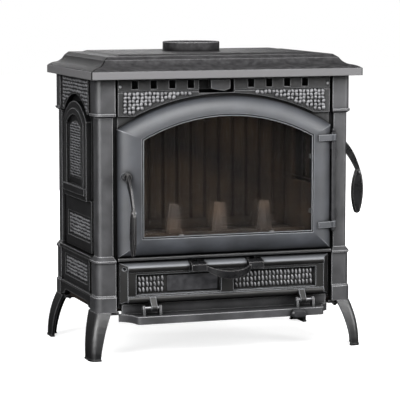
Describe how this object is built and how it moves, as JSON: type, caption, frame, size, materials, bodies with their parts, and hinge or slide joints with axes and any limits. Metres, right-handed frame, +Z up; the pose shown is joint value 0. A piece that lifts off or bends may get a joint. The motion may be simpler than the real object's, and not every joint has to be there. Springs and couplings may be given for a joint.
{
  "type": "wood stove",
  "caption": "Free-standing cast iron wood stove with arched glass door, side loading door, drop-down ash door, log guard and top flue collar",
  "frame": {"origin": "on the floor, midway between the four feet", "axes": "+X to the right seen from the front, +Y to the back, +Z up; the main door faces -Y"},
  "size_m": [0.8328, 0.5398, 0.8355],
  "materials": {
    "stove_iron": "matt grey-black stove paint over sand-cast iron",
    "door_iron": "satin grey-black stove paint on smooth castings",
    "top_iron": "matt grey-black stove paint",
    "handle_black": "gloss black paint",
    "bright_steel": "plain bright steel",
    "dark_steel": "satin black painted steel",
    "inner_iron": "bare iron, heat-stained",
    "rope_seal": "grey glass-fibre rope",
    "clear_glass": "clear heat-resistant glass"
  },
  "bodies": {
    "stove_body": {"ash_hinge_pins": "bright_steel", "ash_pan": "dark_steel", "ash_shelf": "stove_iron", "back_lining": "inner_iron", "back_panel": "stove_iron", "baffle": "inner_iron", "base_plate": "inner_iron", "collar_bolts": "bright_steel", "flue_collar": "top_iron", "frieze_screws": "bright_steel", "front_left_leg": "stove_iron", "front_left_post": "stove_iron", "front_plate": "stove_iron", "front_right_leg": "stove_iron", "front_right_post": "stove_iron", "grate": "inner_iron", "hearth_plate": "inner_iron", "hinge_column": "dark_steel", "hinge_pins": "dark_steel", "hinge_screws": "dark_steel", "left_lining": "inner_iron", "left_side_panel": "stove_iron", "log_retainer": "inner_iron", "rear_left_leg": "stove_iron", "rear_left_post": "stove_iron", "rear_right_leg": "stove_iron", "rear_right_post": "stove_iron", "right_lining": "inner_iron", "right_side_panel": "stove_iron", "side_hinge_pins": "bright_steel", "tie_nuts": "dark_steel", "tie_rods": "dark_steel", "top_plate": "top_iron"},
    "main_door": {"door_frame": "door_iron", "door_glass": "clear_glass", "glass_tape": "rope_seal", "glass_clips": "bright_steel", "clip_screws": "bright_steel", "door_gasket": "rope_seal"},
    "door_handle": {"handle_arm": "handle_black", "handle_grip": "handle_black", "handle_pins": "bright_steel", "handle_spindle": "bright_steel", "latch_cam": "bright_steel"},
    "loading_door": {"side_door": "door_iron", "side_gasket": "rope_seal"},
    "side_handle": {"side_handle_arm": "handle_black", "side_handle_grip": "handle_black", "side_handle_pins": "bright_steel", "side_handle_spindle": "bright_steel", "side_latch_cam": "bright_steel"},
    "ash_door_leaf": {"ash_door": "door_iron", "ash_gasket": "rope_seal"},
    "ash_pull": {"ash_handle": "handle_black", "ash_shaft": "bright_steel"},
    "secondary_air": {"secondary_air_slider": "stove_iron"},
    "primary_air": {"air_knob": "dark_steel", "air_rod": "bright_steel", "air_damper": "dark_steel"}
  },
  "joints": [
    {"name": "main_door_hinge", "type": "hinge", "parent": "stove_body", "child": "main_door", "pos_m": [0.311, -0.211, 0.459], "axis": [0, 0, 1], "range_deg": [0, 115]},
    {"name": "door_handle_turn", "type": "hinge", "parent": "main_door", "child": "door_handle", "pos_m": [-0.288, -0.23, 0.49], "axis": [0, -1, 0], "range_deg": [-80, 20]},
    {"name": "loading_door_hinge", "type": "hinge", "parent": "stove_body", "child": "loading_door", "pos_m": [0.358, 0.133, 0.465], "axis": [0, 0, 1], "range_deg": [0, 100]},
    {"name": "side_handle_turn", "type": "hinge", "parent": "loading_door", "child": "side_handle", "pos_m": [0.366, -0.114, 0.56], "axis": [1, 0, 0], "range_deg": [-80, 20]},
    {"name": "ash_door_hinge", "type": "hinge", "parent": "stove_body", "child": "ash_door_leaf", "pos_m": [0, -0.2345, 0.138], "axis": [1, 0, 0], "range_deg": [0, 90]},
    {"name": "ash_pull_turn", "type": "hinge", "parent": "ash_door_leaf", "child": "ash_pull", "pos_m": [-0.004, -0.212, 0.242], "axis": [1, 0, 0], "range_deg": [-20, 20]},
    {"name": "secondary_air_slide", "type": "slide", "parent": "stove_body", "child": "secondary_air", "axis": [1, 0, 0], "range_m": [-0.01, 0.01]},
    {"name": "primary_air_slide", "type": "slide", "parent": "stove_body", "child": "primary_air", "axis": [0, -1, 0], "range_m": [0, 0.025]}
  ]
}
